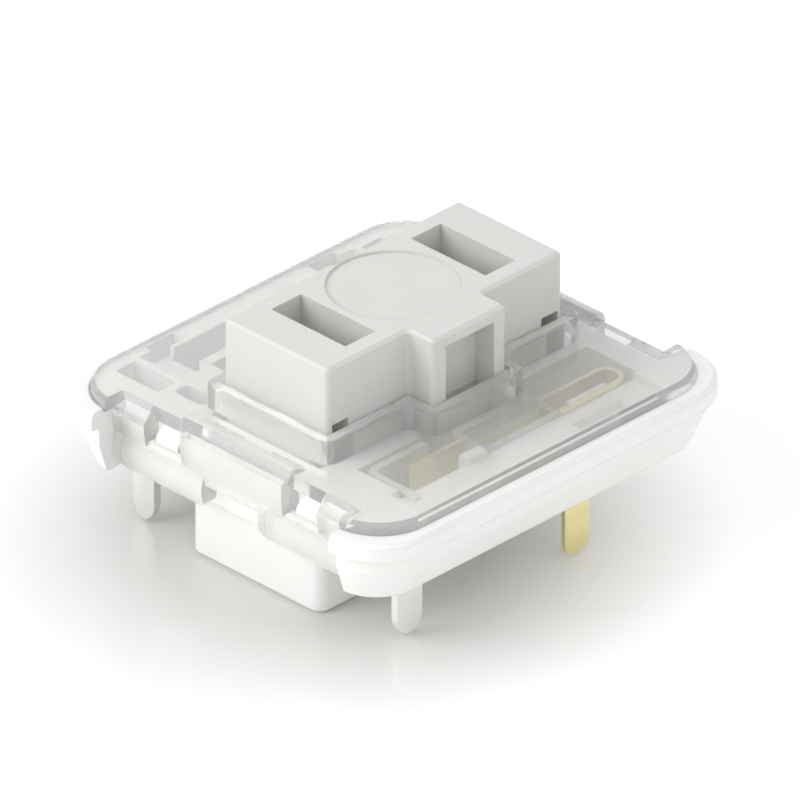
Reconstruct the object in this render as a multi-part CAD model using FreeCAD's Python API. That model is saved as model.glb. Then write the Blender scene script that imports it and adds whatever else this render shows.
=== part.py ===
import FreeCAD, Part
import math
import os

# A low-profile key switch: a white base with a clear clip-on cover, a two-slot stem on a return
# spring, a leaf contact that the stem holds open, and a fixed terminal. Millimetres, +Z up, X along
# the stem. The origin is on the underside of the central box, below the middle of the stem.

Vector = FreeCAD.Vector
X_AXIS = Vector(1, 0, 0)
Y_AXIS = Vector(0, 1, 0)
Z_AXIS = Vector(0, 0, 1)

# Levels and thicknesses, counted up from the underside of the central box
overall_height = 7.60
seat_level = 2.27
flange_top = 4.40
flange_thickness = 0.57
cover_rise = 0.35
roof_thickness = 0.45
collar_rise = 0.75

# Base
flange_length = 14.92
flange_width = 13.74
flange_radius = 1.90
seat_length = 13.70
seat_width = 12.25
seat_radius = 1.40
shoulder_length = 14.30
shoulder_width = 13.10
shoulder_radius = 1.70
draft_height = 0.95
flange_edge = 0.12
box_length = 11.30
box_width = 5.30
box_radius = 0.40
box_edge = 0.10
box_end_wall = 0.45
box_floor = 0.40
tray_floor = 0.48
well_wall = 0.57
bay_half_width = 4.80
bay_face = 6.00
post_radius = 1.10
post_height = 0.80

# Front tray that holds the contacts
tray_left = -4.45
tray_right = 5.15
pad_left = -1.85
pad_length = 0.80
pad_reach = 0.28
rib_left = 2.60
rib_right = 4.15
rib_thickness = 0.16

# Lowered shelf in front of the tray, and the pocket in it beside the moving contact's pin
front_shelf_left = -4.80
front_shelf_right = 5.00
front_shelf_front = -6.05
front_shelf_depth = 0.22
front_pocket_left = 1.95
front_pocket_right = 3.90
front_pocket_front = -5.90
front_pocket_back = -5.27
front_pocket_depth = 0.50

# Cored pockets in the base's top behind the stem, the same on both sides
trough_half_length = 3.40
trough_near = 4.60
trough_far = 5.65
core_pocket_inner = 0.50
core_pocket_outer = 3.20
core_pocket_far = 4.25
shelf_outer = 4.35
shelf_near = 4.20
shelf_far = 6.00
shelf_depth = 0.35
slot_pocket_inner = 4.65
slot_pocket_outer = 5.40
slot_pocket_far = 5.90
slot_pocket_depth = 0.75
edge_pocket_inner = 2.75
edge_pocket_outer = 3.85
edge_pocket_near = 5.80
edge_pocket_far = 6.25
edge_pocket_depth = 0.60
corner_pocket_inner = 4.50
corner_pocket_outer = 5.05
corner_pocket_near = 2.75
corner_pocket_far = 3.90
end_pocket_near = 0.55
end_pocket_far = 1.75
end_pocket_width = 0.35
end_pocket_depth = 0.80

# Latch nubs on the base and the windows and bars of the cover's clips
nub_middle = 2.85
nub_width = 0.90
nub_reach = 0.36
nub_flat = 0.16
nub_slope = 0.46
panel_half_width = 2.20
window_end = 3.50
clip_half_width = 4.75
clip_bottom = 2.35
bar_top = 3.60
bar_gap_half_width = 1.15
bar_bulge = 0.10
bar_outer_radius = 0.55
bar_inner_radius = 0.35
panel_bottom = 3.15
panel_crest = 0.21
panel_end_bevel = 0.16
clip_thickness = 0.52

# Cover
cover_length = 13.93
cover_width = 12.78
cover_radius = 1.75
cover_edge = 0.12
cover_end = 6.25
collar_wall = 0.38
collar_corner_radius = 0.45
collar_edge = 0.06
rebate_left = -5.40
rebate_right = 4.40
rebate_depth = 0.13
guide_left = -0.94
guide_right = 1.96
guide_front = -4.68
guide_back = -3.35
guide_depth = 0.55
guide_clearance = 0.12

# Stem
stem_length = 9.60
stem_width = 4.20
stem_corner_radius = 0.16
stem_edge = 0.10
bump_length = 3.00
bump_reach = 1.00
bump_gap = 0.15
recess_width = 1.95
recess_top = 0.38
recess_depth = 0.72
slot_pitch = 5.70
slot_width = 1.20
slot_length = 3.00
slot_depth = 3.10
disc_radius = 1.97
disc_depth = 0.07
shoulder_reach = 0.30
shoulder_half_width = 1.60
spring_room = 1.70
spring_roof = 1.20
peg_radius = 1.05
peg_height = 0.70
groove_middle = 4.27
groove_width = 0.66
groove_depth = 0.75
groove_show = 0.20
core_width = 2.05
core_length = 3.20
core_roof = 0.60
core_shift = 0.30

# Return spring
wire_diameter = 0.25
wire_sides = 8
spring_diameter = 3.00
open_turns = 3
end_pitch = 0.27

# Contacts
leaf_thickness = 0.15
leaf_y = -3.80
leaf_bottom = 2.85
leaf_low_top = 3.35
leaf_top = 4.20
leaf_head_left = -3.25
leaf_bend = 0.425
leaf_turn_x = 4.45
nose_x = -4.15
nose_radius = 0.15
nose_room = 0.45
moving_pin_x = 2.00
moving_pin_y = -5.40
moving_pin_width = 1.00
fixed_pin_x = -4.58
fixed_pin_y = -5.10
fixed_pin_width = 1.00
fixed_thickness = 0.25
fixed_arm_y = -3.18
fixed_arm_end = -1.90
fixed_arm_bottom = 3.55
fixed_overlap = 0.15
point_x = -2.30
point_level = 3.88
point_radius = 0.24
point_height = 0.10
pin_tip_level = 0.12
moving_tip_taper = 0.40
moving_tip_share = 0.45
round_tip_taper = 0.55
round_tip_share = 0.22
tip_bulge = 0.30

# Solder tabs in the two rear corners, beside the faces of the clips' bays
tab_inset_x = 0.70
tab_inset_y = 2.12
tab_width = 0.85
tab_thickness = 0.27
tab_root = 1.10

# Clearances
slide_gap = 0.08
cover_gap = 0.04
seat_gap = 0.02
stop_gap = 0.10
nose_gap = 0.05

# Levels worked out from the sizes above
flange_bottom = flange_top - flange_thickness
cover_top = flange_top + cover_rise
roof_under = cover_top - roof_thickness
rest_level = roof_under - seat_gap
collar_top = cover_top + collar_rise
stem_top = overall_height
travel = stem_top - collar_top
tray_level = seat_level + tray_floor
stem_foot = box_floor + stop_gap + travel
shoulder_top = roof_under - seat_gap
half_stem = stem_length / 2
half_width = stem_width / 2
well_half_length = box_length / 2 - box_end_wall
well_half_width = half_width + slide_gap
tray_back = -(well_half_width + well_wall)
leg_y = leaf_y - 2 * leaf_bend
tray_front = leg_y - leaf_thickness / 2 - seat_gap
fixed_back = fixed_arm_y + fixed_thickness / 2
foot_level = tray_level + seat_gap
foot_top = foot_level + leaf_thickness
plate_top = fixed_arm_bottom + fixed_overlap
tab_x = bay_face - tab_inset_x
tab_y = flange_width / 2 - tab_inset_y
above = stem_top + 1


def block(x_low, x_high, y_low, y_high, z_low, z_high):
    corner = Vector(x_low, y_low, z_low)
    return Part.makeBox(x_high - x_low, y_high - y_low, z_high - z_low, corner)


def centred_block(length, width, z_low, z_high):
    return block(-length / 2, length / 2, -width / 2, width / 2, z_low, z_high)


def vertical_edges(shape):
    found = []
    for edge in shape.Edges:
        ends = edge.Vertexes
        if len(ends) == 2:
            run = ends[1].Point - ends[0].Point
            if abs(run.z) > 0.05 and abs(run.x) < 1e-6 and abs(run.y) < 1e-6:
                found.append(edge)
    return found


def edges_at_level(shape, level):
    found = []
    for edge in shape.Edges:
        box = edge.BoundBox
        if abs(box.ZMin - level) < 1e-5 and abs(box.ZMax - level) < 1e-5:
            found.append(edge)
    return found


def rounded_block(length, width, radius, z_low, z_high):
    shape = centred_block(length, width, z_low, z_high)
    return shape.makeFillet(radius, vertical_edges(shape))


def rounded_outline(length, width, radius, level):
    pieces = []
    last = None
    first = None
    for quarter in range(4):
        turn = quarter * math.pi / 2
        side_x = 1 if quarter in (0, 3) else -1
        side_y = 1 if quarter in (0, 1) else -1
        middle = Vector(side_x * (length / 2 - radius), side_y * (width / 2 - radius), level)
        circle = Part.Circle(middle, Z_AXIS, radius)
        arc = Part.ArcOfCircle(circle, turn, turn + math.pi / 2)
        if last is None:
            first = arc.StartPoint
        else:
            pieces.append(Part.makeLine(last, arc.StartPoint))
        pieces.append(arc.toShape())
        last = arc.EndPoint
    pieces.append(Part.makeLine(last, first))
    return Part.Wire(pieces)


def prism(points, run):
    wire = Part.makePolygon(points + [points[0]])
    return Part.Face(wire).extrude(run)


def bar_profile(outline, y_low, y_high):
    points = [Vector(x, y_low, z) for x, z in outline]
    return prism(points, Vector(0, y_high - y_low, 0))


def with_mirror(shape):
    return shape.fuse(shape.mirror(Vector(0, 0, 0), X_AXIS))


def with_both_mirrors(shape):
    pair = shape.fuse(shape.mirror(Vector(0, 0, 0), Y_AXIS))
    return with_mirror(pair)


def fused(first, others):
    return first.multiFuse(others).removeSplitter()


def cut_all(shape, tools):
    return shape.cut(tools)


def tip_flank(high_point, low_point, bulge):
    # A slightly bowed line from a pin's side down to its tip
    run = low_point - high_point
    outward = Vector(run.x, run.y, 0)
    middle = (high_point + low_point) / 2 - outward * bulge
    return Part.Arc(high_point, middle, low_point).toShape()


def blade(centre_x, centre_y, width, thickness, along_x, z_high, taper, tip_share):
    # A flat pin whose lower end narrows with bowed flanks in the direction of its wider side
    across = X_AXIS if along_x else Y_AXIS
    through = Y_AXIS if along_x else X_AXIS
    centre = Vector(centre_x, centre_y, 0) - through * (thickness / 2)
    half = width / 2
    tip = half * tip_share
    shoulder = pin_tip_level + taper
    top_low = centre - across * half + Z_AXIS * z_high
    top_high = centre + across * half + Z_AXIS * z_high
    side_low = centre - across * half + Z_AXIS * shoulder
    side_high = centre + across * half + Z_AXIS * shoulder
    tip_low = centre - across * tip + Z_AXIS * pin_tip_level
    tip_high = centre + across * tip + Z_AXIS * pin_tip_level
    outline = [
        Part.makeLine(top_low, side_low),
        tip_flank(side_low, tip_low, tip_bulge),
        Part.makeLine(tip_low, tip_high),
        tip_flank(tip_high, side_high, -tip_bulge),
        Part.makeLine(side_high, top_high),
        Part.makeLine(top_high, top_low),
    ]
    return Part.Face(Part.Wire(outline)).extrude(through * thickness)


def stem_plan(margin, z_low, z_high):
    # The outline of the stem, bar and front bump, grown by a margin
    bar = centred_block(stem_length + 2 * margin, stem_width + 2 * margin, z_low, z_high)
    reach = half_width + bump_reach + margin
    half_bump = bump_length / 2 + margin
    bump = block(-half_bump, half_bump, -reach, 0, z_low, z_high)
    return fused(bar, [bump])


def make_tub():
    lower = rounded_outline(seat_length, seat_width, seat_radius, seat_level)
    upper_level = seat_level + draft_height
    upper = rounded_outline(shoulder_length, shoulder_width, shoulder_radius, upper_level)
    drafted = Part.makeLoft([lower, upper], True, True)
    straight = rounded_block(
        shoulder_length, shoulder_width, shoulder_radius, upper_level, flange_bottom
    )
    flange = rounded_block(flange_length, flange_width, flange_radius, flange_bottom, flange_top)
    flange = flange.makeChamfer(flange_edge, edges_at_level(flange, flange_top))
    return fused(drafted, [straight, flange])


def make_box():
    box = rounded_block(box_length, box_width, box_radius, 0, tray_level)
    return box.makeChamfer(box_edge, edges_at_level(box, 0))


def make_nub():
    # Latch nub with a flat catch below and a sloping lead-in above
    low = bar_top + cover_gap
    tip = bay_face + nub_reach
    root = bay_face - 0.1
    outline = [
        (root, low),
        (tip, low),
        (tip, low + nub_flat),
        (bay_face, low + nub_flat + nub_slope),
        (root, low + nub_flat + nub_slope),
    ]
    return bar_profile(outline, nub_middle - nub_width / 2, nub_middle + nub_width / 2)


def make_contact_supports():
    # A pad on the tray's front wall, and the rib that holds the leaf's fixed leg from behind
    pad_right = pad_left + pad_length
    pad_back = tray_front + pad_reach
    pad = block(pad_left, pad_right, tray_front - 0.1, pad_back, tray_level, rest_level)
    rib_front = leg_y + leaf_thickness / 2 + seat_gap
    rib = block(
        rib_left, rib_right, rib_front, rib_front + rib_thickness, tray_level, leaf_top - seat_gap
    )
    return [pad, rib]


def make_top_pockets():
    # Cored pockets behind the stem and beside the well, on the +X side
    deep = tray_level
    near = well_half_width + well_wall
    outer = core_pocket_outer
    end_middle = (well_half_length + bay_face) / 2
    end_low = end_middle - end_pocket_width / 2
    end_high = end_middle + end_pocket_width / 2
    slot_floor = roof_under - slot_pocket_depth
    edge_floor = roof_under - edge_pocket_depth
    end_floor = roof_under - end_pocket_depth
    corner = block(
        corner_pocket_inner, corner_pocket_outer, corner_pocket_near, corner_pocket_far, deep, above
    )
    end_pocket = block(end_low, end_high, end_pocket_near, end_pocket_far, end_floor, above)
    pockets = [
        block(core_pocket_inner, outer, near, core_pocket_far, deep, above),
        block(-1, trough_half_length, trough_near, trough_far, deep, above),
        block(
            trough_half_length - 0.1, shelf_outer, shelf_near, shelf_far, roof_under - shelf_depth, above
        ),
        block(slot_pocket_inner, slot_pocket_outer, shelf_near, slot_pocket_far, slot_floor, above),
        block(
            edge_pocket_inner, edge_pocket_outer, edge_pocket_near, edge_pocket_far, edge_floor, above
        ),
        corner.makeFillet(0.2, vertical_edges(corner)),
        end_pocket,
        end_pocket.mirror(Vector(0, 0, 0), Y_AXIS),
    ]
    return [with_mirror(pocket) for pocket in pockets]


def make_base():
    nubs = with_both_mirrors(make_nub())
    bay = block(bay_face, flange_length, -bay_half_width, bay_half_width, 0, above)
    cover_seat = rounded_block(
        cover_length + 2 * cover_gap, cover_width + 2 * cover_gap, cover_radius, rest_level, above
    )
    well = block(
        -well_half_length, well_half_length, -well_half_width, well_half_width, box_floor, above
    )
    tray = block(fixed_arm_end, tray_right, tray_front, tray_back, tray_level, above)
    left_tray = block(
        tray_left, fixed_arm_end + 0.1, tray_front, fixed_back + slide_gap, tray_level, above
    )
    bump_room = bump_length / 2 + slide_gap
    bump_channel = block(-bump_room, bump_room, leaf_y, 0, tray_level, above)
    nose_slot = block(
        tray_left, nose_x + nose_room, leaf_y, 0, tray_level, leaf_low_top + slide_gap
    )
    front_shelf = block(
        front_shelf_left,
        front_shelf_right,
        front_shelf_front,
        tray_front + 0.1,
        rest_level - front_shelf_depth,
        above,
    )
    front_pocket = block(
        front_pocket_left,
        front_pocket_right,
        front_pocket_front,
        front_pocket_back,
        rest_level - front_pocket_depth,
        above,
    )
    body = fused(make_tub(), [make_box()])
    body = cut_all(body, [with_mirror(bay), cover_seat])
    body = fused(body, [nubs])
    openings = [well, tray, left_tray, bump_channel, nose_slot, front_shelf, front_pocket]
    body = cut_all(body, openings + make_top_pockets())
    body = cut_all(body, make_terminal_slots())
    post = Part.makeCylinder(post_radius, post_height, Vector(0, 0, box_floor))
    post = post.makeChamfer(0.2, edges_at_level(post, box_floor + post_height))
    return fused(body, [post] + make_contact_supports())


def make_terminal_slots():
    gap = seat_gap
    half = moving_pin_width / 2 + gap
    moving_x = moving_pin_x
    thin = leaf_thickness / 2 + gap
    high = foot_top + gap
    moving_slit = block(
        moving_x - half, moving_x + half, moving_pin_y - thin, moving_pin_y + thin, 0, high
    )
    moving_pocket = block(
        moving_x - half, moving_x + half, moving_pin_y - thin, leaf_y, tray_level, high
    )
    half = fixed_pin_width / 2 + gap
    thin = fixed_thickness / 2 + gap
    fixed_slit = block(
        fixed_pin_x - half,
        fixed_pin_x + half,
        fixed_pin_y - thin,
        fixed_pin_y + thin,
        0,
        plate_top + gap,
    )
    arm_left = fixed_pin_x + half - 2 * thin
    fixed_pocket = block(
        arm_left, fixed_pin_x + half, fixed_pin_y - gap, leaf_y, tray_level, above
    )
    tab_slit = block(
        tab_x - tab_thickness / 2 - gap,
        tab_x + tab_thickness / 2 + gap,
        tab_y - tab_width / 2 - gap,
        tab_y + tab_width / 2 + gap,
        0,
        seat_level + tab_root + gap,
    )
    return [moving_slit, moving_pocket, fixed_slit, fixed_pocket, with_mirror(tab_slit)]


def clip_leg_outline():
    face = bay_face + cover_gap
    outer = face + clip_thickness
    return [
        (face, bar_top - 0.1),
        (outer, bar_top - 0.1),
        (outer + 0.12, roof_under - 0.1),
        (cover_end, cover_top),
        (cover_end - 0.5, cover_top),
        (cover_end - 0.5, roof_under),
        (face, roof_under),
    ]


def make_clip_bar():
    # One lower bar of the clip, bowed outwards, with its two lower corners rounded
    face = bay_face + cover_gap
    outer = face + clip_thickness
    y = bar_gap_half_width
    top_inner = Vector(face, y, bar_top)
    top_outer = Vector(outer - 0.12, y, bar_top)
    bowed = Vector(outer + bar_bulge, y, (bar_top + clip_bottom) / 2)
    low_outer = Vector(outer - 0.14, y, clip_bottom)
    low_inner = Vector(face, y, clip_bottom)
    outline = [
        Part.makeLine(low_inner, top_inner),
        Part.makeLine(top_inner, top_outer),
        Part.Arc(top_outer, bowed, low_outer).toShape(),
        Part.makeLine(low_outer, low_inner),
    ]
    length = clip_half_width - bar_gap_half_width
    bar = Part.Face(Part.Wire(outline)).extrude(Y_AXIS * length)
    corners = []
    for corner_y, radius, inward in (
        (bar_gap_half_width, bar_inner_radius, 1),
        (clip_half_width, bar_outer_radius, -1),
    ):
        centre_y = corner_y + inward * radius
        low_y = min(corner_y, centre_y)
        square = block(face - 1, outer + 1, low_y, low_y + radius, clip_bottom, clip_bottom + radius)
        centre = Vector(face - 1, centre_y, clip_bottom + radius)
        corners.append(square.cut(Part.makeCylinder(radius, clip_thickness + 2, centre, X_AXIS)))
    return cut_all(bar, corners)


def clip_panel_outline():
    face = bay_face + cover_gap
    outer = face + clip_thickness
    crest = cover_top + panel_crest
    return [
        (face, panel_bottom),
        (outer - 0.06, panel_bottom),
        (outer + 0.05, panel_bottom + 0.75),
        (outer + 0.05, roof_under + 0.2),
        (outer - 0.22, crest),
        (face + 0.08, crest),
        (cover_end - 0.5, cover_top),
        (cover_end - 0.5, roof_under),
        (face, roof_under),
    ]


def outer_end_edges(shape, half_width, x_low):
    found = []
    for edge in shape.Edges:
        box = edge.BoundBox
        flat = abs(abs(box.YMin) - half_width) < 1e-6 and box.YLength < 1e-6
        if flat and box.XMin > x_low:
            found.append(edge)
    return found


def make_clip():
    leg = bar_profile(clip_leg_outline(), window_end, clip_half_width)
    half = fused(leg, [make_clip_bar()])
    both = half.fuse(half.mirror(Vector(0, 0, 0), Y_AXIS))
    panel = bar_profile(clip_panel_outline(), -panel_half_width, panel_half_width)
    outer_ends = outer_end_edges(panel, panel_half_width, bay_face + clip_thickness - 0.1)
    panel = panel.makeChamfer(panel_end_bevel, outer_ends)
    return fused(panel, [both])


def make_cover():
    plate = rounded_block(cover_length, cover_width, cover_radius, roof_under, cover_top)
    plate = plate.makeChamfer(cover_edge, edges_at_level(plate, cover_top))
    bay = block(cover_end, flange_length, -clip_half_width, clip_half_width, 0, above)
    front = -cover_width / 2
    rebate = block(
        rebate_left, rebate_right, front, front + rebate_depth, cover_top - rebate_depth, above
    )
    plate = cut_all(plate, [with_mirror(bay), rebate])
    collar = stem_plan(slide_gap + collar_wall, cover_top - 0.1, collar_top)
    collar = collar.makeFillet(collar_corner_radius, vertical_edges(collar))
    collar = collar.makeChamfer(collar_edge, edges_at_level(collar, collar_top))
    guide = block(
        guide_left, guide_right, guide_front, guide_back, roof_under - guide_depth, roof_under + 0.1
    )
    body = fused(plate, [collar, guide, with_mirror(make_clip())])
    return cut_all(body, [stem_plan(slide_gap, 0, above)])


def make_stem():
    upper = stem_plan(0, stem_foot, stem_top)
    upper = upper.makeFillet(stem_corner_radius, vertical_edges(upper))
    upper = upper.makeChamfer(stem_edge, edges_at_level(upper, stem_top))
    bump_foot = tray_level + travel + bump_gap
    reach = half_width + bump_reach
    under_bump = block(-half_stem, half_stem, -reach, -half_width, 0, bump_foot)
    foot = centred_block(
        stem_length + 2 * shoulder_reach, 2 * shoulder_half_width, stem_foot, shoulder_top
    )
    body = fused(cut_all(upper, [under_bump]), [foot])
    slot = block(
        slot_pitch / 2 - slot_width / 2,
        slot_pitch / 2 + slot_width / 2,
        -slot_length / 2,
        slot_length / 2,
        stem_top - slot_depth,
        above,
    )
    disc = Part.makeCylinder(disc_radius, 1, Vector(0, 0, stem_top - disc_depth))
    recess = block(
        -recess_width / 2,
        recess_width / 2,
        -reach - 0.1,
        -reach + recess_depth,
        0,
        stem_top - recess_top,
    )
    room_top = stem_top - spring_roof
    room = Part.makeCylinder(spring_room, room_top - stem_foot + 1, Vector(0, 0, stem_foot - 1))
    groove = block(
        groove_middle - groove_width / 2,
        groove_middle + groove_width / 2,
        -half_width - 1,
        -half_width + groove_depth,
        shoulder_top,
        collar_top + groove_show,
    )
    core = block(
        slot_pitch / 2 - core_width / 2 + core_shift,
        slot_pitch / 2 + core_width / 2 + core_shift,
        -core_length / 2,
        core_length / 2,
        0,
        stem_top - slot_depth - core_roof,
    )
    body = cut_all(body, [with_mirror(slot), disc, recess, room, with_mirror(groove), with_mirror(core)])
    peg = Part.makeCylinder(peg_radius, peg_height + 0.1, Vector(0, 0, room_top - peg_height))
    return fused(body, [peg])


def wire_outline(radius, level):
    # The wire's round section drawn with a few flat sides
    points = []
    for side in range(wire_sides):
        turn = (side + 0.5) * 2 * math.pi / wire_sides
        reach = wire_diameter / 2
        points.append(Vector(radius + reach * math.cos(turn), 0, level + reach * math.sin(turn)))
    return Part.makePolygon(points + [points[0]])


def make_spring():
    # Tilted half rings end to end, each starting on the outline where the one before ends
    radius = (spring_diameter - wire_diameter) / 2
    level = box_floor + seat_gap + wire_diameter / 2
    high = stem_top - spring_roof - seat_gap - wire_diameter / 2
    open_pitch = (high - level - 2 * end_pitch) / open_turns
    pitches = [end_pitch] + [open_pitch] * open_turns + [end_pitch]
    outline = wire_outline(radius, level)
    faces = [Part.Face(outline)]
    for pitch in pitches:
        for side in (1, -1):
            middle = Vector(0, 0, level + pitch / 4)
            axis = Vector(side * pitch / 4, 0, radius)
            faces.extend(outline.revolve(middle, axis, 180).Faces)
            outline = outline.rotated(middle, axis, 180)
            level += pitch / 2
    faces.append(Part.Face(outline))
    shell = Part.makeShell(faces)
    shell.sewShape()
    return Part.makeSolid(shell)


def swept_strip(path, section_points):
    section = Part.makePolygon(section_points + [section_points[0]])
    return Part.Wire(path).makePipeShell([section], True, False)


def arc_edge(middle, normal, radius, start, end):
    circle = Part.Circle(middle, normal, radius)
    return Part.ArcOfCircle(circle, math.radians(start), math.radians(end)).toShape()


def make_leaf_strip():
    # Plan of the strip: nose leg, long arm, half turn, then the fixed leg
    bend = 0.3
    nose_y = -half_width - nose_gap - nose_radius
    level = leaf_bottom
    start = Vector(nose_x, nose_y, level)
    corner_in = Vector(nose_x, leaf_y + bend, level)
    corner_out = Vector(nose_x + bend, leaf_y, level)
    turn_in = Vector(leaf_turn_x, leaf_y, level)
    turn_out = Vector(leaf_turn_x, leg_y, level)
    end = Vector(moving_pin_x - moving_pin_width / 2, leg_y, level)
    corner = arc_edge(Vector(nose_x + bend, leaf_y + bend, level), Z_AXIS, bend, 180, 270)
    turn = arc_edge(Vector(leaf_turn_x, leaf_y - leaf_bend, level), Z_AXIS, leaf_bend, -90, 90)
    path = [
        Part.makeLine(start, corner_in),
        corner,
        Part.makeLine(corner_out, turn_in),
        turn,
        Part.makeLine(turn_out, end),
    ]
    half = leaf_thickness / 2
    section = [
        Vector(nose_x - half, nose_y, leaf_bottom),
        Vector(nose_x + half, nose_y, leaf_bottom),
        Vector(nose_x + half, nose_y, leaf_top),
        Vector(nose_x - half, nose_y, leaf_top),
    ]
    strip = swept_strip(path, section)
    low_end = block(tray_left - 1, leaf_head_left, tray_front, 0, leaf_low_top, above)
    guide_room = block(
        guide_left - guide_clearance,
        guide_right + guide_clearance,
        tray_front,
        guide_back,
        leaf_low_top,
        above,
    )
    nose = Part.makeCylinder(
        nose_radius, leaf_low_top - leaf_bottom, Vector(nose_x, nose_y, leaf_bottom)
    )
    return fused(cut_all(strip, [low_end, guide_room]), [nose])


def make_moving_contact():
    half = leaf_thickness / 2
    left = moving_pin_x - moving_pin_width / 2
    right = moving_pin_x + moving_pin_width / 2
    foot = block(left, right, moving_pin_y - half, leg_y + half, foot_level, foot_top)
    pin = blade(
        moving_pin_x,
        moving_pin_y,
        moving_pin_width,
        leaf_thickness,
        True,
        foot_top,
        moving_tip_taper,
        moving_tip_share,
    )
    return fused(make_leaf_strip(), [foot, pin])


def make_fixed_contact():
    half = fixed_thickness / 2
    right = fixed_pin_x + fixed_pin_width / 2
    level = fixed_arm_bottom
    plate = blade(
        fixed_pin_x,
        fixed_pin_y,
        fixed_pin_width,
        fixed_thickness,
        True,
        plate_top,
        round_tip_taper,
        round_tip_share,
    )
    bend = 0.3
    side_x = right - half
    start = Vector(side_x, fixed_pin_y, level)
    corner_in = Vector(side_x, fixed_arm_y - bend, level)
    corner_out = Vector(side_x + bend, fixed_arm_y, level)
    end = Vector(fixed_arm_end, fixed_arm_y, level)
    corner = arc_edge(Vector(side_x + bend, fixed_arm_y - bend, level), Z_AXIS, bend, 90, 180)
    path = [Part.makeLine(start, corner_in), corner, Part.makeLine(corner_out, end)]
    section = [
        Vector(side_x - half, fixed_pin_y, level),
        Vector(side_x + half, fixed_pin_y, level),
        Vector(side_x + half, fixed_pin_y, leaf_top),
        Vector(side_x - half, fixed_pin_y, leaf_top),
    ]
    return fused(plate, [swept_strip(path, section)])


def make_point(face_y, side):
    # A low dome on a short round base, standing out from a plate along +Y or -Y
    direction = Vector(0, side, 0)
    start = Vector(point_x, face_y, point_level)
    disc = Part.makeCylinder(point_radius, point_height / 2, start, direction)
    tip = Vector(point_x, face_y + side * point_height / 2, point_level)
    dome = Part.makeCone(point_radius, point_radius / 2, point_height / 2, tip, direction)
    return fused(disc, [dome])


def make_moving_point():
    return make_point(leaf_y + leaf_thickness / 2, 1)


def make_fixed_point():
    return make_point(fixed_arm_y - fixed_thickness / 2, -1)


def make_solder_tab(side):
    return blade(
        side * tab_x,
        tab_y,
        tab_width,
        tab_thickness,
        False,
        seat_level + tab_root,
        round_tip_taper,
        round_tip_share,
    )


pieces = {
    "base_housing": make_base(),
    "clear_cover": make_cover(),
    "stem": make_stem(),
    "return_spring": make_spring(),
    "moving_contact": make_moving_contact(),
    "moving_contact_point": make_moving_point(),
    "fixed_contact": make_fixed_contact(),
    "fixed_contact_point": make_fixed_point(),
    "solder_tab_left": make_solder_tab(-1),
    "solder_tab_right": make_solder_tab(1),
}

os.makedirs("parts", exist_ok=True)
for name, shape in pieces.items():
    shape.exportStep("parts/" + name + ".step")
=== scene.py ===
import math

import bpy
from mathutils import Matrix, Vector


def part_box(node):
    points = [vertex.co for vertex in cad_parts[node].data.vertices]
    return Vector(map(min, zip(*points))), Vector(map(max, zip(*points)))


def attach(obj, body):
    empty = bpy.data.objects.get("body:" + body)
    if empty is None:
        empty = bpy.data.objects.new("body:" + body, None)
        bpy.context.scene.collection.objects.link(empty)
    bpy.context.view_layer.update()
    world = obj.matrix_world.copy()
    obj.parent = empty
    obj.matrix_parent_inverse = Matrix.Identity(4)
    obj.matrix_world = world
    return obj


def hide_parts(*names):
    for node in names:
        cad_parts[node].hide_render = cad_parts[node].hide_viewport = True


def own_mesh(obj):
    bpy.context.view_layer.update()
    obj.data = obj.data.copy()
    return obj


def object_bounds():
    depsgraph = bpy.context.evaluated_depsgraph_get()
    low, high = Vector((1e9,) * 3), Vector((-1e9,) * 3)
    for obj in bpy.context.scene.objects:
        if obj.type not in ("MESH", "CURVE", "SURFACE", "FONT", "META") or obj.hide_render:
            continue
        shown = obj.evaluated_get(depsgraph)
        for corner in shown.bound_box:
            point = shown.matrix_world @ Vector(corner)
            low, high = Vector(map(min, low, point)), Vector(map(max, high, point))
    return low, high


# A low-profile key switch on a pale studio floor. The white base, the clear cover, the stem and
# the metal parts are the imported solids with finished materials, and the return spring is a smooth
# coil in the place of its solid. Metres throughout.

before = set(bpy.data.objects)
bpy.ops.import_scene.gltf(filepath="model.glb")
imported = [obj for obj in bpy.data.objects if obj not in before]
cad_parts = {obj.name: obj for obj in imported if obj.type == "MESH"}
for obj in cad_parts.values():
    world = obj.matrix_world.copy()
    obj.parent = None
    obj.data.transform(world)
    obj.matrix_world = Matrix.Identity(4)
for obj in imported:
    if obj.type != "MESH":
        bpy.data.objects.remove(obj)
cad_low, cad_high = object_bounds()

MM = 0.001
OBJECT_HEIGHT = cad_high.z

# Camera: a very long lens, far off, on the front left corner of the switch. FRAME_WIDTH is what
# the picture spans at the switch, and the two STEM_TOP values place the stem's top in it.
VIEW_AZIMUTH = math.radians(-45.2)
VIEW_ELEVATION = math.radians(30.4)
FRAME_WIDTH = 22.98 * MM
STEM_TOP_RIGHT_OF_CENTRE = -0.193 * MM
STEM_TOP_ABOVE_CENTRE = 3.309 * MM
CAMERA_DISTANCE = 820 * MM
SENSOR_WIDTH = 36
CLIP_START = 1 * MM
CLIP_END = 4000 * MM

# Widths and depths of what the materials' noises draw
CLOUD_SIZE = 2.6 * MM
GRAIN_SIZE = 0.09 * MM
GRAIN_DEPTH = 0.0016 * MM
HAZE_SIZE = 1.7 * MM
RIPPLE_SIZE = 1.1 * MM
RIPPLE_DEPTH = 0.004 * MM
BLOTCH_SIZE = 0.8 * MM
SCRATCH_DEPTH = 0.0004 * MM
CARD_DRIFT_SIZE = 90 * MM

# The part of a noise's 0 to 1 run over which one colour turns into the other
BLEND_FROM = 0.3
BLEND_TO = 0.7

EDGE_SAMPLES = 2
COVER_SHADOW = 0.15

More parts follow.
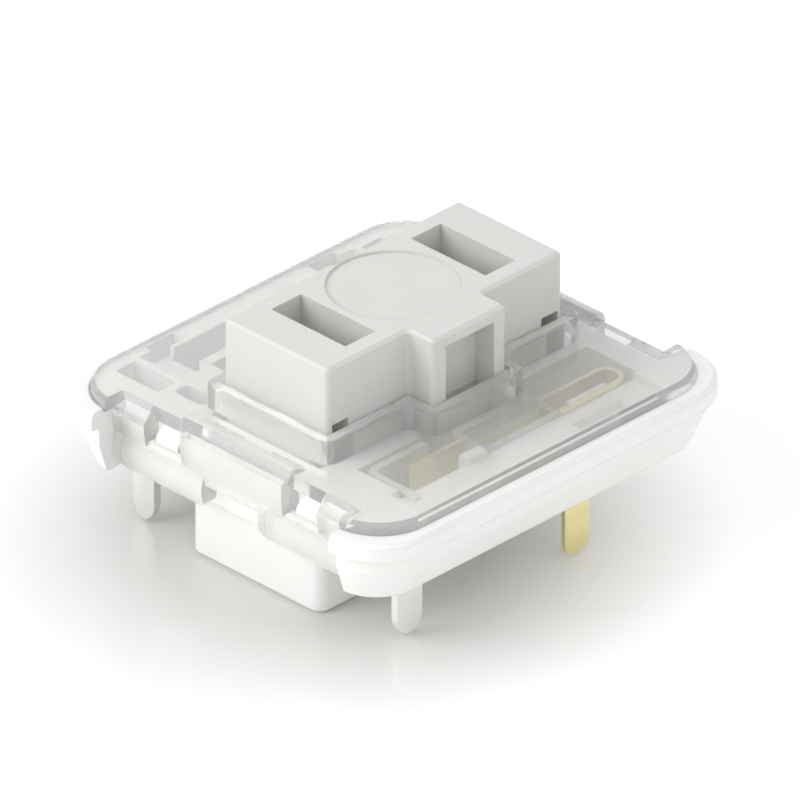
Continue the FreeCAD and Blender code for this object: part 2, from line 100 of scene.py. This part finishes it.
# Floor: painted light; it glows nothing near the switch and fully further off, which leaves a
# painted shadow round the switch
FLOOR_HALF = 400 * MM
PAINTED_SHADOW_MIDDLE = (-2.5 * MM, 0.5 * MM, cad_low.z)
GLOW_STARTS = 4.8 * MM
GLOW_FULL = 12 * MM
GLOW_STRENGTH = 0.40

# Surround: its level at the front (-Y) and at the rear (+Y)
WORLD_FRONT = 0.88
WORLD_REAR = 0.74
NEAR_WHITE = (1, 1, 0.995, 1)

# Return spring
WIRE_RADIUS = 0.125 * MM
END_PITCH = 0.27 * MM
OPEN_TURNS = 3
STEPS_PER_TURN = 48
WIRE_ROUNDNESS = 4


class Nodes:
    """A short way to lay out one material's nodes."""

    def __init__(self, name):
        self.material = bpy.data.materials.new(name)
        self.material.use_nodes = True
        self.tree = self.material.node_tree
        self.shader = self.tree.nodes["Principled BSDF"]
        self.place = self.add("ShaderNodeTexCoord").outputs["Object"]

    def add(self, kind, **settings):
        # A setting is one of the node's sockets, or else one of its properties
        node = self.tree.nodes.new(kind)
        for key, value in settings.items():
            if key in node.inputs:
                node.inputs[key].default_value = value
            else:
                setattr(node, key, value)
        return node

    def link(self, start, end):
        self.tree.links.new(start, end)

    def drive(self, source, socket):
        # Links a value to one of the shader's sockets
        self.link(source, self.shader.inputs[socket])

    def set(self, **values):
        for key, value in values.items():
            self.shader.inputs[key.replace("_", " ")].default_value = value

    def noise(self, size, detail):
        # size is the width of one blotch
        node = self.add("ShaderNodeTexNoise", Scale=1 / size, Detail=detail)
        self.link(self.place, node.inputs["Vector"])
        return node.outputs["Fac"]

    def ramp(self, factor, low, high):
        # Turns a 0 to 1 value into a run between two colours
        node = self.add("ShaderNodeValToRGB")
        ends = node.color_ramp.elements
        ends[0].position, ends[0].color = BLEND_FROM, (*low, 1)
        ends[1].position, ends[1].color = BLEND_TO, (*high, 1)
        self.link(factor, node.inputs["Fac"])
        return node.outputs["Color"]

    def span(self, factor, low, high, start=0.0, end=1.0):
        # Stretches a value's run from start to end over the run from low to high
        node = self.add("ShaderNodeMapRange")
        node.inputs["From Min"].default_value = start
        node.inputs["From Max"].default_value = end
        node.inputs["To Min"].default_value = low
        node.inputs["To Max"].default_value = high
        self.link(factor, node.inputs["Value"])
        return node.outputs["Result"]

    def bump(self, height, depth, strength=1.0, normal=None):
        node = self.add("ShaderNodeBump", Strength=strength, Distance=depth)
        self.link(height, node.inputs["Height"])
        if normal is not None:
            self.link(normal, node.inputs["Normal"])
        return node.outputs["Normal"]

    def soft_edge(self, radius):
        node = self.add("ShaderNodeBevel", Radius=radius, samples=EDGE_SAMPLES)
        return node.outputs["Normal"]


def moulded_plastic(name, dark, light, roughness, edge):
    # Opaque moulded plastic: faint cloudiness, satin gloss and softened edges
    made = Nodes(name)
    cloud = made.noise(CLOUD_SIZE, detail=3)
    made.drive(made.ramp(cloud, dark, light), "Base Color")
    grain = made.noise(GRAIN_SIZE, detail=2)
    made.drive(made.span(grain, roughness - 0.05, roughness + 0.07), "Roughness")
    made.drive(made.bump(grain, GRAIN_DEPTH, normal=made.soft_edge(edge)), "Normal")
    made.set(Specular_IOR_Level=0.45)
    return made.material


def clear_plastic(name):
    # Clear moulded plastic with a faint haze and ripple. It throws only a thin shadow, so that
    # the lights reach what it covers.
    made = Nodes(name)
    haze = made.noise(HAZE_SIZE, detail=2)
    made.drive(made.span(haze, 0.05, 0.12), "Roughness")
    ripple = made.noise(RIPPLE_SIZE, detail=1)
    made.drive(made.bump(ripple, RIPPLE_DEPTH, strength=0.5), "Normal")
    light_path = made.add("ShaderNodeLightPath")
    presence = made.span(light_path.outputs["Is Shadow Ray"], 1.0, COVER_SHADOW)
    made.drive(presence, "Alpha")
    made.set(
        Base_Color=(0.94, 0.945, 0.935, 1),
        Transmission_Weight=0.79,
        IOR=1.49,
        Specular_IOR_Level=0.5,
    )
    return made.material


def metal(name, dark, light, roughness, streak_size, metallic=1.0):
    # Plated or bare sheet metal and wire: faint blotches and a fine uneven polish
    made = Nodes(name)
    blotch = made.noise(BLOTCH_SIZE, detail=3)
    made.drive(made.ramp(blotch, dark, light), "Base Color")
    streak = made.noise(streak_size, detail=4)
    made.drive(made.span(streak, roughness - 0.04, roughness + 0.05), "Roughness")
    made.drive(made.bump(streak, SCRATCH_DEPTH), "Normal")
    made.set(Metallic=metallic)
    return made.material


def painted_glow_floor_material():
    # Pale card with painted light: it glows a little away from the switch, so that it fades to
    # white, and the unlit patch round the switch is a painted shadow
    made = Nodes("studio_floor")
    drift = made.noise(CARD_DRIFT_SIZE, detail=1)
    made.drive(made.ramp(drift, (0.665, 0.665, 0.655), (0.685, 0.685, 0.675)), "Base Color")
    distance = made.add("ShaderNodeVectorMath", operation="DISTANCE")
    made.link(made.place, distance.inputs[0])
    distance.inputs[1].default_value = PAINTED_SHADOW_MIDDLE
    away = distance.outputs["Value"]
    # Painted light: the glow rises with distance from the middle of the painted shadow
    made.drive(made.span(away, 0.0, GLOW_STRENGTH, GLOW_STARTS, GLOW_FULL), "Emission Strength")
    made.set(Roughness=0.22, Specular_IOR_Level=0.32, Emission_Color=NEAR_WHITE)
    return made.material


def dress(node, material):
    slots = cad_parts[node].material_slots
    for slot in slots:
        slot.material = material
    if not slots:
        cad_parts[node].data.materials.append(material)


def add_to_scene(name, data):
    thing = bpy.data.objects.new(name, data)
    bpy.context.scene.collection.objects.link(thing)
    return thing


def coil_spring(low, high):
    # Two close end turns and the open turns between them, as one round wire
    radius = (high.x - low.x) / 2 - WIRE_RADIUS
    rise = high.z - low.z - 2 * WIRE_RADIUS
    open_pitch = (rise - 2 * END_PITCH) / OPEN_TURNS
    points = []
    level = low.z + WIRE_RADIUS
    for pitch in [END_PITCH] + [open_pitch] * OPEN_TURNS + [END_PITCH]:
        for step in range(STEPS_PER_TURN):
            turn = 2 * math.pi * step / STEPS_PER_TURN
            points.append((radius * math.cos(turn), radius * math.sin(turn), level))
            level += pitch / STEPS_PER_TURN
    points.append((radius, 0, level))
    curve = bpy.data.curves.new("coil_spring_line", "CURVE")
    curve.dimensions = "3D"
    curve.bevel_depth = WIRE_RADIUS
    curve.bevel_resolution = WIRE_ROUNDNESS
    curve.use_fill_caps = True
    line = curve.splines.new("POLY")
    line.points.add(len(points) - 1)
    for point, place in zip(line.points, points):
        point.co = (*place, 1)
    carrier = bpy.data.objects.new("coil_spring_curve", curve)
    mesh = bpy.data.meshes.new_from_object(carrier)
    bpy.data.objects.remove(carrier)
    for polygon in mesh.polygons:
        polygon.use_smooth = True
    return add_to_scene("coil_spring", mesh)


def point_at(thing, direction):
    thing.rotation_mode = "QUATERNION"
    thing.rotation_quaternion = direction.to_track_quat("-Z", "Y")


def area_light(name, place, width, height, power, colour):
    # A softbox that points at the middle of the switch
    data = bpy.data.lights.new(name, "AREA")
    data.shape = "RECTANGLE"
    data.size = width
    data.size_y = height
    data.energy = power
    data.color = colour
    light = add_to_scene(name, data)
    light.location = place
    point_at(light, Vector((0, 0, OBJECT_HEIGHT / 2)) - Vector(place))


def studio_world():
    # A pale surround, a little brighter at the front (-Y) than at the rear
    world = bpy.data.worlds.new("studio_world")
    world.use_nodes = True
    tree = world.node_tree
    place = tree.nodes.new("ShaderNodeTexCoord")
    split = tree.nodes.new("ShaderNodeSeparateXYZ")
    level = tree.nodes.new("ShaderNodeMapRange")
    level.inputs["From Min"].default_value = -1
    level.inputs["From Max"].default_value = 1
    level.inputs["To Min"].default_value = WORLD_FRONT
    level.inputs["To Max"].default_value = WORLD_REAR
    tree.links.new(place.outputs["Generated"], split.inputs["Vector"])
    tree.links.new(split.outputs["Y"], level.inputs["Value"])
    tree.links.new(level.outputs["Result"], tree.nodes["Background"].inputs["Strength"])
    tree.nodes["Background"].inputs["Color"].default_value = NEAR_WHITE
    bpy.context.scene.world = world


# Materials, each with the darkest and the lightest of its colours
white_nylon = moulded_plastic(
    "white_nylon",
    dark=(0.92, 0.92, 0.91),
    light=(0.95, 0.95, 0.94),
    roughness=0.42,
    edge=0.06 * MM,
)
stem_plastic = moulded_plastic(
    "stem_plastic",
    dark=(0.685, 0.685, 0.672),
    light=(0.715, 0.715, 0.70),
    roughness=0.48,
    edge=0.05 * MM,
)
cover_plastic = clear_plastic("cover_plastic")
gold = metal(
    "gold_plate",
    dark=(0.88, 0.79, 0.42),
    light=(0.93, 0.85, 0.48),
    roughness=0.30,
    streak_size=0.05 * MM,
)
silver = metal(
    "silver_plate",
    dark=(0.93, 0.92, 0.90),
    light=(0.97, 0.965, 0.95),
    roughness=0.32,
    streak_size=0.06 * MM,
    metallic=0.65,
)
tin = metal(
    "bright_tin",
    dark=(0.82, 0.82, 0.81),
    light=(0.90, 0.90, 0.89),
    roughness=0.38,
    streak_size=0.06 * MM,
)
steel = metal(
    "spring_steel",
    dark=(0.66, 0.66, 0.66),
    light=(0.76, 0.76, 0.75),
    roughness=0.26,
    streak_size=0.04 * MM,
)

dress("base_housing", white_nylon)
dress("clear_cover", cover_plastic)
dress("stem", stem_plastic)
dress("moving_contact", gold)
dress("moving_contact_point", gold)
dress("fixed_contact", silver)
dress("fixed_contact_point", gold)
dress("solder_tab_left", tin)
dress("solder_tab_right", tin)

# Return spring
spring_low, spring_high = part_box("return_spring")
spring = coil_spring(spring_low, spring_high)
spring.data.materials.append(steel)
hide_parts("return_spring")
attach(spring, "housing")
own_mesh(spring)

# Studio: floor, surround and two softboxes
floor_mesh = bpy.data.meshes.new("studio_floor")
floor_corners = [
    (-FLOOR_HALF, -FLOOR_HALF, cad_low.z),
    (FLOOR_HALF, -FLOOR_HALF, cad_low.z),
    (FLOOR_HALF, FLOOR_HALF, cad_low.z),
    (-FLOOR_HALF, FLOOR_HALF, cad_low.z),
]
floor_mesh.from_pydata(floor_corners, [], [(0, 1, 2, 3)])
floor = add_to_scene("studio_floor", floor_mesh)
floor.data.materials.append(painted_glow_floor_material())

studio_world()
bpy.context.scene.view_settings.view_transform = "Standard"
area_light(
    "left_softbox",
    place=(-80 * MM, 45 * MM, 62 * MM),
    width=70 * MM,
    height=60 * MM,
    power=0.046,
    colour=(1.0, 0.998, 0.99),
)
area_light(
    "top_softbox",
    place=(-10 * MM, 25 * MM, 120 * MM),
    width=110 * MM,
    height=110 * MM,
    power=0.012,
    colour=(1, 1, 1),
)

# Camera: back points from the switch to it, and right and up are the picture's own directions
back = Vector(
    (
        math.sin(VIEW_AZIMUTH) * math.cos(VIEW_ELEVATION),
        -math.cos(VIEW_AZIMUTH) * math.cos(VIEW_ELEVATION),
        math.sin(VIEW_ELEVATION),
    )
)
right = Vector((math.cos(VIEW_AZIMUTH), math.sin(VIEW_AZIMUTH), 0))
up = back.cross(right)
stem_top = Vector((0, 0, OBJECT_HEIGHT))
centre = stem_top - right * STEM_TOP_RIGHT_OF_CENTRE - up * STEM_TOP_ABOVE_CENTRE
camera_data = bpy.data.cameras.new("camera")
camera_data.sensor_width = SENSOR_WIDTH
camera_data.lens = SENSOR_WIDTH * CAMERA_DISTANCE / FRAME_WIDTH
camera_data.clip_start = CLIP_START
camera_data.clip_end = CLIP_END
camera = add_to_scene("camera", camera_data)
camera.location = centre + back * CAMERA_DISTANCE
point_at(camera, -back)
bpy.context.scene.camera = camera
